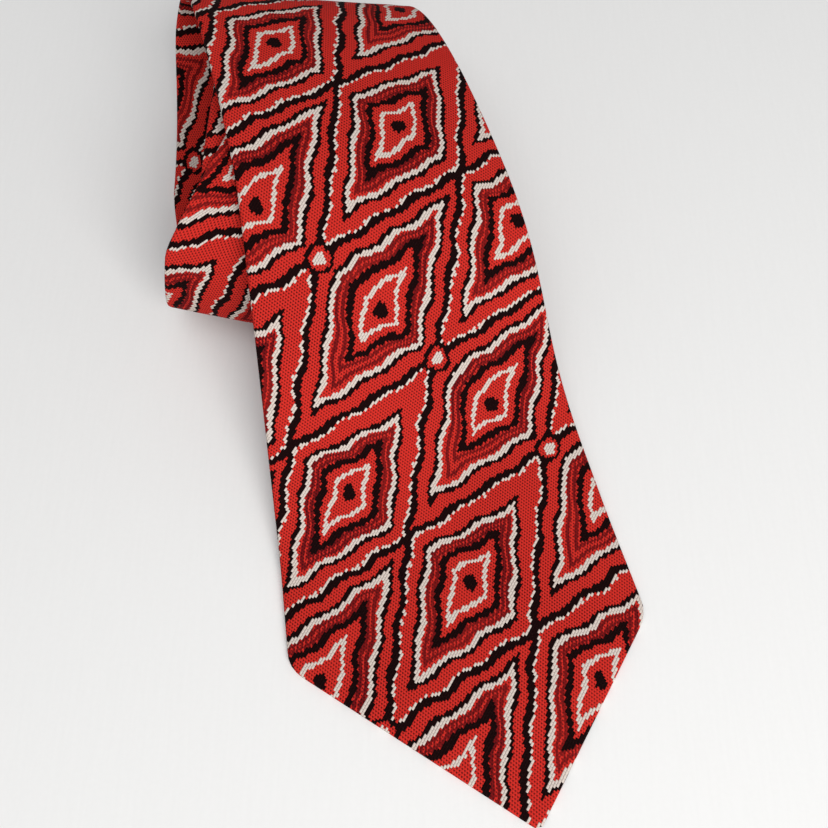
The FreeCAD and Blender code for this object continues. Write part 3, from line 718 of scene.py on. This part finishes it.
def make_woven_cloth():
    """The outer cloth: diamonds in ivory and black floats on a red twill ground, with painted shade in
    the twill's pits and at the floats' sides.
    """
    g = Graph("woven_diamond_cloth")
    weft, warp = weave_place(g)
    colour, floats, slanted = woven_pattern(g, weft, warp)
    ground = ground_twill(g, weft, warp)
    relief = float_relief(g, weft, slanted)
    flat = g.math("SUBTRACT", 1.0, floats)
    height = g.math("ADD", g.math("MULTIPLY", relief, floats),
                    g.math("MULTIPLY", g.math("MULTIPLY_ADD", ground, 0.5, 0.3), flat))
    # Painted shade: the colour goes towards near black in the pits of the twill ground and in the gaps
    # along the floats' sides.
    pit_shade = g.math("MULTIPLY", g.ramp(g.math("MULTIPLY", ground, -1.0), -0.10, 0.60), flat)
    gap = g.math("MULTIPLY", g.ramp(g.math("MULTIPLY", relief, -1.0), -0.55, -0.15), floats)
    shade = g.math("ADD", g.math("MULTIPLY", pit_shade, 0.85), g.math("MULTIPLY", gap, 0.55))
    colour = g.mix(shade, colour, (0.020, 0.003, 0.004, 1.0))
    patchy = g.ramp(g.noise(g.vector(weft, warp), 0.030, 3.0), 0.35, 0.70)
    faded = g.math("MULTIPLY", g.math("MULTIPLY", patchy, flat), 0.12)
    colour = g.mix(faded, colour, (0.75, 0.035, 0.022, 1.0))
    fuzz = g.noise(g.vector(weft, warp), 2.2, 3.0)
    stray = g.math("MULTIPLY", g.ramp(fuzz, 0.5, 0.8), 0.012)
    colour = g.mix(stray, colour, (0.8, 0.40, 0.34, 1.0))
    rough = g.math("MULTIPLY_ADD", fuzz, 0.12, 0.74)
    g.bump(g.math("MULTIPLY_ADD", fuzz, 0.25, height), 0.16, 0.8)
    return g.finish(colour, rough, 0.0, 0.04)


def make_satin(name, colour, dark):
    """A smooth satin lining: fine slanting ribs and a soft gloss."""
    g = Graph(name)
    along, across = g.cloth_place()
    slant = g.math("MULTIPLY_ADD", along, 0.5, across)
    rib = g.math("SINE", g.math("MULTIPLY", slant, 2.0 * math.pi / 0.42))
    drift = g.noise(g.vector(along, across), 0.35, 3.0)
    shade = g.math("ADD", g.math("MULTIPLY_ADD", rib, 0.16, 0.2), g.math("MULTIPLY", drift, 0.3))
    g.bump(rib, 0.04, 0.5)
    return g.finish(g.mix(shade, colour, dark), g.math("MULTIPLY_ADD", drift, 0.2, 0.32), 0.1)


def make_felt():
    """The wool interlining: a loose pale weave with fibres standing out of it."""
    g = Graph("wool_interlining")
    along, across = g.cloth_place()
    weave = g.math("MULTIPLY", g.math("SINE", g.math("MULTIPLY", along, 2.0 * math.pi / 1.1)),
                   g.math("SINE", g.math("MULTIPLY", across, 2.0 * math.pi / 1.1)))
    fibre = g.noise(g.vector(along, across), 1.4, 5.0)
    shade = g.math("ADD", g.math("MULTIPLY_ADD", weave, 0.25, 0.3), g.math("MULTIPLY", fibre, 0.35))
    g.bump(g.math("ADD", weave, fibre), 0.15, 0.8)
    return g.finish(g.mix(shade, (0.62, 0.57, 0.47, 1.0), (0.30, 0.26, 0.20, 1.0)), 0.95, 0.3)


def make_thread(name, colour):
    """Twisted sewing thread, its strands running round it."""
    g = Graph(name)
    place = g.object_place()
    strand = g.noise(place, 3200.0, 1.0)
    drift = g.noise(place, 240.0, 2.0)
    shade = g.math("MULTIPLY_ADD", strand, 0.5, g.math("MULTIPLY", drift, 0.25))
    g.bump(strand, 0.08, 0.7)
    dark = tuple(channel * 0.35 for channel in colour[:3]) + (1.0,)
    return g.finish(g.mix(shade, colour, dark), 0.55, 0.2)


def make_label_cloth():
    """A blank black satin label with a woven border."""
    g = Graph("blank_label_satin")
    along, across = g.cloth_place()
    rib = g.math("SINE", g.math("MULTIPLY", along, 2.0 * math.pi / 0.36))
    side = g.math("GREATER_THAN", g.math("ABSOLUTE", across), 21.2)
    weave = g.math("SINE", g.math("MULTIPLY", across, 2.0 * math.pi / 0.7))
    shade = g.math("MULTIPLY_ADD", rib, 0.15, 0.25)
    colour = g.mix(shade, (0.030, 0.012, 0.016, 1.0), (0.008, 0.003, 0.005, 1.0))
    colour = g.mix(g.math("MULTIPLY", side, 0.7), colour, (0.20, 0.015, 0.018, 1.0))
    g.bump(g.math("ADD", rib, g.math("MULTIPLY", weave, side)), 0.05, 0.6)
    return g.finish(colour, 0.38, 0.1)


def make_table_top():
    """A pale matt table top with a faint vertical grain."""
    g = Graph("pale_table")
    place = g.object_place()
    split = g.tree.nodes.new("ShaderNodeSeparateXYZ")
    g.feed(place, split.inputs[0])
    grain = g.noise(g.vector(g.math("MULTIPLY", split.outputs[0], 900.0),
                             g.math("MULTIPLY", split.outputs[1], 60.0)), 1.0, 4.0)
    speck = g.noise(place, 700.0, 3.0)
    shade = g.math("MULTIPLY_ADD", grain, 0.5, g.math("MULTIPLY", speck, 0.4))
    g.bump(shade, 0.12, 0.25)
    return g.finish(g.mix(shade, (0.86, 0.855, 0.845, 1.0), (0.80, 0.795, 0.785, 1.0)), 0.6)


WOVEN = make_woven_cloth()
SATIN = make_satin("tipping_satin", (0.230, 0.008, 0.012, 1.0), (0.090, 0.003, 0.006, 1.0))
FELT = make_felt()
RED_THREAD = make_thread("red_thread", (0.42, 0.018, 0.016, 1.0))
LABEL_CLOTH = make_label_cloth()


# ---------------------------------------------------------------- pieces at the fold and the crest
def across_fold(obj):
    """Bakes the transform of a piece that lies across the fold line on the table into its mesh."""
    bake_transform(obj)


def across_crest(obj):
    """Bakes the transform of a piece that passes over the top of the roll into its mesh."""
    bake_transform(obj)


# ---------------------------------------------------------------- the outer cloth
def make_blade_cloth():
    """The blade's cloth in three lengths that meet edge to edge."""
    columns = 46
    front = folded_cloth("blade_cloth_front", CLOTH_START, FRONT_END, 2.0, columns, WOVEN)
    over = folded_cloth("blade_cloth_over", FRONT_END, OVER_END, 2.0, columns, WOVEN)
    rolled = folded_cloth("blade_cloth_wraps", OVER_END, BLADE_END, 2.2, columns, WOVEN)
    declare(CLOTH_START, FRONT_END, folded_width)
    declare(FRONT_END, OVER_END, folded_width)
    declare(OVER_END, BLADE_END, folded_width)
    across_fold(front)
    across_crest(over)
    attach(rolled, "roll")
    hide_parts("blade_cloth_tip", "blade_cloth_drape")
    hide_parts("blade_cloth_rolled")


def make_inner_cloth():
    """The neck and the tail, wound inside the roll."""
    columns = 24
    neck_start = BLADE_END + SEAM_GAP
    neck_end = NECK_CLOTH_END - SEAM_GAP
    tail_start = NECK_CLOTH_END + SEAM_GAP
    tail_end = TIE_LENGTH - 1.0
    neck = folded_cloth("neck_cloth_wraps", neck_start, neck_end, 3.0, columns, WOVEN)
    tail = folded_cloth("tail_cloth_wraps", tail_start, tail_end, 3.0, columns, WOVEN)
    declare(neck_start, neck_end, folded_width)
    declare(tail_start, tail_end, folded_width)
    for obj, node in ((neck, "neck_cloth"), (tail, "tail_cloth")):
        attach(obj, "roll")
        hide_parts(node)


# ---------------------------------------------------------------- the linings
LINING_INSET = 2.6
LINING_HEIGHT = 0.24
LINING_WALL = 0.4
LINING_START = 4.0
TIPPING_HEIGHT = -0.33
TIPPING_WALL = 0.2
TIPPING_END = 156.0
TAIL_TIPPING_START = 1338.0


def make_interlining():
    """The wool interlining inside the tie, cut in two lengths and parted at the fold line and at the
    crest.
    """
    parts = [("interlining_front", LINING_START, FRONT_END), ("interlining_over", FRONT_END, OVER_END),
             ("interlining_wraps", OVER_END, LINING_JOIN - 0.5),
             ("interlining_tail", LINING_JOIN + 0.5, TAIL_CORNER + 18.0)]
    made = []
    for name, start, end in parts:
        obj = flat_band(name, start, end, 4.0, LINING_INSET, LINING_HEIGHT, LINING_WALL, FELT)
        declare(start, end, band_width(LINING_INSET))
        made.append(obj)
    across_fold(made[0])
    across_crest(made[1])
    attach(made[2], "roll")
    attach(made[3], "roll")
    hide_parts("blade_interlining_tip", "blade_interlining_drape")
    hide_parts("blade_interlining_rolled")
    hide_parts("tail_interlining")


def make_tippings():
    """The satin linings behind both pointed ends."""
    layer = (3.0, LINING_INSET, TIPPING_HEIGHT, TIPPING_WALL, SATIN)
    blade = flat_band("tipping_blade", LINING_START, TIPPING_END, *layer)
    declare(LINING_START, TIPPING_END, band_width(LINING_INSET))
    across_fold(blade)
    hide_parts("blade_tipping", "blade_tipping_drape")
    tail_end = TAIL_CORNER + 20.0
    tail = flat_band("tipping_tail", TAIL_TIPPING_START, tail_end, *layer)
    declare(TAIL_TIPPING_START, tail_end, band_width(LINING_INSET))
    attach(tail, "roll")
    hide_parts("tail_tipping")


# ---------------------------------------------------------------- keeper loop and label
def back_height(along):
    """Height of the outer face of the flaps, behind the strip's middle surface."""
    return -half_thickness(along)


def make_keeper_and_label():
    """The loop that keeps the tail, and the blank label behind the blade."""
    keeper_end = KEEPER_ALONG + KEEPER_WIDTH
    height = back_height(KEEPER_ALONG) - 0.35
    keeper = flat_band("keeper_band", KEEPER_ALONG, keeper_end, 1.5, 0.0, height, 0.4, WOVEN,
                       half=KEEPER_HALF)
    declare(KEEPER_ALONG, keeper_end, lambda _along: 2 * KEEPER_HALF)
    label_end = LABEL_ALONG + LABEL_DEPTH
    height = back_height(LABEL_ALONG) - 0.22
    label = flat_band("label_blank", LABEL_ALONG, label_end, 1.5, 0.0, height, 0.25, LABEL_CLOTH,
                      half=LABEL_HALF)
    declare(LABEL_ALONG, label_end, lambda _along: 2 * LABEL_HALF)
    for obj, node in ((keeper, "keeper_loop"), (label, "blank_label")):
        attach(obj, "roll")
        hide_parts(node)


# ---------------------------------------------------------------- sewing
def surface_point(along, across, height):
    """One point on the strip, in millimetres, at a height from its middle surface."""
    base, normal = SURFACE.place(along, np.array([across]))
    point = base[0] + normal[0] * (height + ripple(base[0] - SHIFT, along, across))
    point[2] = max(point[2], LEAST_HEIGHT)
    return point


def thread_tube(path, radius, points, faces, sides=6):
    """Adds one closed, tapered stitch along a path of points to a mesh's lists."""
    count = len(path)
    first = len(points)
    for k, place in enumerate(path):
        ahead = path[min(k + 1, count - 1)] - path[max(k - 1, 0)]
        ahead = ahead / np.linalg.norm(ahead)
        side = np.cross(ahead, (0.31, 0.17, 0.93))
        side = side / np.linalg.norm(side)
        up = np.cross(side, ahead)
        taper = 0.45 if k in (0, count - 1) else 1.0
        for turn in range(sides):
            angle = 2.0 * math.pi * turn / sides
            points.append(place + (side * math.cos(angle) + up * math.sin(angle)) * radius * taper)
    for k in range(count - 1):
        for turn in range(sides):
            a = first + k * sides + turn
            b = first + k * sides + (turn + 1) % sides
            faces.append((a, b, b + sides, a + sides))
    faces.append(tuple(first + turn for turn in range(sides))[::-1])
    faces.append(tuple(first + (count - 1) * sides + turn for turn in range(sides)))


def stitches(name, paths, radius, material):
    """One object that holds many stitches."""
    points = []
    faces = []
    for path in paths:
        thread_tube(path, radius, points, faces)
    mesh = bpy.data.meshes.new(name)
    mesh.from_pydata([tuple(p) for p in np.array(points) * MM], [], faces)
    mesh.materials.append(material)
    for polygon in mesh.polygons:
        polygon.use_smooth = True
    obj = bpy.data.objects.new(name, mesh)
    bpy.context.scene.collection.objects.link(obj)
    return obj


def slip_stitch_path(along):
    """One slanted stitch from flap to flap across the back seam."""
    height = back_height(along) + 0.02
    places = [(0.0, -1.7, 0.25), (0.8, -0.9, 0.0), (1.7, 0.9, 0.0), (2.5, 1.7, 0.25)]
    return [surface_point(along + step, across, height + lift) for step, across, lift in places]


def make_slip_stitches():
    """The long back seam, drawn together every few millimetres."""
    pitch = 7.0
    over = [slip_stitch_path(s) for s in np.arange(TACK_ALONG + 4.0, OVER_END - 3.0, pitch)]
    obj = stitches("slip_stitches_over", over, 0.22, RED_THREAD)
    across_crest(obj)
    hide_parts("slip_stitch_drape")
    wraps = [slip_stitch_path(s) for s in np.arange(OVER_END + 1.0, TAIL_TACK_ALONG - 5.0, pitch)]
    obj = stitches("slip_stitches_wraps", wraps, 0.22, RED_THREAD)
    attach(obj, "roll")
    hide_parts("slip_stitch_rolled")


def bar_tack_paths(along):
    """Close stitches side by side over the end of the back seam, and the bar they cover."""
    height = back_height(along) - 0.12
    paths = []
    for k in range(15):
        across = -4.2 + 0.6 * k
        lean = 0.25 if k % 2 else -0.25
        ends = ((-0.95, -0.10), (-0.55, -0.22), (0.55, -0.22), (0.95, -0.10))
        paths.append([surface_point(along + step + lean, across, height + lift + 0.2)
                      for step, lift in ends])
    bar = [surface_point(along, across, height) for across in np.linspace(-4.5, 4.5, 9)]
    return paths + [bar]


def make_bar_tacks():
    """The bar tacks where the back seam ends, behind the blade and behind the tail."""
    blade = stitches("bar_tack_blade", bar_tack_paths(TACK_ALONG), 0.3, RED_THREAD)
    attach(blade, "blade_drape")
    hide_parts("blade_bar_tack")
    tail = stitches("bar_tack_tail", bar_tack_paths(TAIL_TACK_ALONG), 0.3, RED_THREAD)
    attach(tail, "roll")
    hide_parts("tail_bar_tack")


def hem_stitch_paths():
    """Small slanted stitches that catch the tipping to the hem behind the blade's point."""
    paths = []
    for side, corner in ((-1.0, CORNER_LEFT), (1.0, CORNER_RIGHT)):
        for along in np.arange(14.0, corner - 4.0, 4.2):
            edge = half_width(side, along)
            inner = side * (edge - HEM_WIDTH)
            height = back_height(along)
            path = [(0.0, side * 0.9, 0.05), (0.4, side * 0.2, 0.0),
                    (0.9, -side * 0.5, 0.35), (1.2, -side * 0.9, 0.5)]
            paths.append([surface_point(along + a, inner + b, height + c) for a, b, c in path])
    return paths


def make_hem_stitches():
    """The hand stitches round the tipping."""
    obj = stitches("tipping_stitches", hem_stitch_paths(), 0.2, RED_THREAD)
    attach(obj, "blade_tip")
    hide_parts("blade_tipping_seam")


def edge_paths(along, depth, half, height):
    """Short stitches down both ends of a patch."""
    paths = []
    for side in (-1.0, 1.0):
        for step in np.arange(0.8, depth - 0.8, 1.6):
            ends = ((0.9, 0.12), (0.3, -0.05), (-0.9, -0.1), (-1.5, 0.08))
            paths.append([surface_point(along + step, side * (half + out - 0.3), height + lift)
                          for out, lift in ends])
    return paths


def make_patch_stitches():
    """The stitches at both ends of the keeper loop and of the label."""
    keeper_height = back_height(KEEPER_ALONG) - 0.42
    paths = edge_paths(KEEPER_ALONG, KEEPER_WIDTH, KEEPER_HALF, keeper_height)
    keeper = stitches("keeper_end_stitches", paths, 0.2, RED_THREAD)
    label_height = back_height(LABEL_ALONG) - 0.28
    paths = edge_paths(LABEL_ALONG, LABEL_DEPTH, LABEL_HALF, label_height)
    label = stitches("label_end_stitches", paths, 0.18, RED_THREAD)
    for obj, node in ((keeper, "keeper_stitches"), (label, "label_stitches")):
        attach(obj, "roll")
        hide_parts(node)


def finish_kept_nodes():
    """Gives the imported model's remaining seams the red thread."""
    for name in ("interlining_join", "blade_neck_seam", "neck_tail_seam"):
        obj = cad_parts[name]
        for material_slot in obj.material_slots:
            material_slot.material = RED_THREAD


make_blade_cloth()
make_inner_cloth()
make_interlining()
make_tippings()
make_keeper_and_label()
make_slip_stitches()
make_bar_tacks()
make_hem_stitches()
make_patch_stitches()
finish_kept_nodes()


# ---------------------------------------------------------------- table, light and camera
def make_floor():
    """A wide pale table under the tie."""
    half = 2.0
    mesh = bpy.data.meshes.new("table_top")
    corners = [(-half, -half, 0.0), (half, -half, 0.0), (half, half, 0.0), (-half, half, 0.0)]
    mesh.from_pydata(corners, [], [(0, 1, 2, 3)])
    mesh.materials.append(make_table_top())
    obj = bpy.data.objects.new("table_top", mesh)
    bpy.context.scene.collection.objects.link(obj)


def area_light(name, place, target, width, power, colour):
    """A square soft light that faces a target."""
    data = bpy.data.lights.new(name, "AREA")
    data.energy = power
    data.size = width
    data.color = colour
    obj = bpy.data.objects.new(name, data)
    obj.location = place
    obj.rotation_euler = (Vector(target) - Vector(place)).to_track_quat("-Z", "Y").to_euler()
    bpy.context.scene.collection.objects.link(obj)


def make_lights():
    """A large soft window light from the front and right, weaker ones opposite, and a pale room."""
    target = (0.0, 0.0, 0.02)
    area_light("window", (0.45, -0.80, 0.75), target, 0.7, 11.0, (1.0, 0.995, 0.98))
    area_light("ceiling", (-0.30, -0.25, 1.5), target, 1.2, 5.5, (0.98, 0.99, 1.0))
    world = bpy.data.worlds.new("pale_room")
    world.use_nodes = True
    world.node_tree.nodes["Background"].inputs[0].default_value = (0.97, 0.98, 1.0, 1.0)
    world.node_tree.nodes["Background"].inputs[1].default_value = 0.38
    bpy.context.scene.world = world


def make_camera():
    """The view from above and in front, looking down at the blade."""
    data = bpy.data.cameras.new("camera")
    data.lens = CAMERA_LENS
    data.sensor_width = 36.0
    data.clip_start = 0.01
    obj = bpy.data.objects.new("camera", data)
    obj.location = (CAMERA_PLACE + SHIFT) * MM
    obj.rotation_euler = (CAMERA_TILT, 0.0, 0.0)
    bpy.context.scene.collection.objects.link(obj)
    bpy.context.scene.camera = obj


make_floor()
make_lights()
make_camera()
bpy.context.scene.view_settings.view_transform = "Standard"
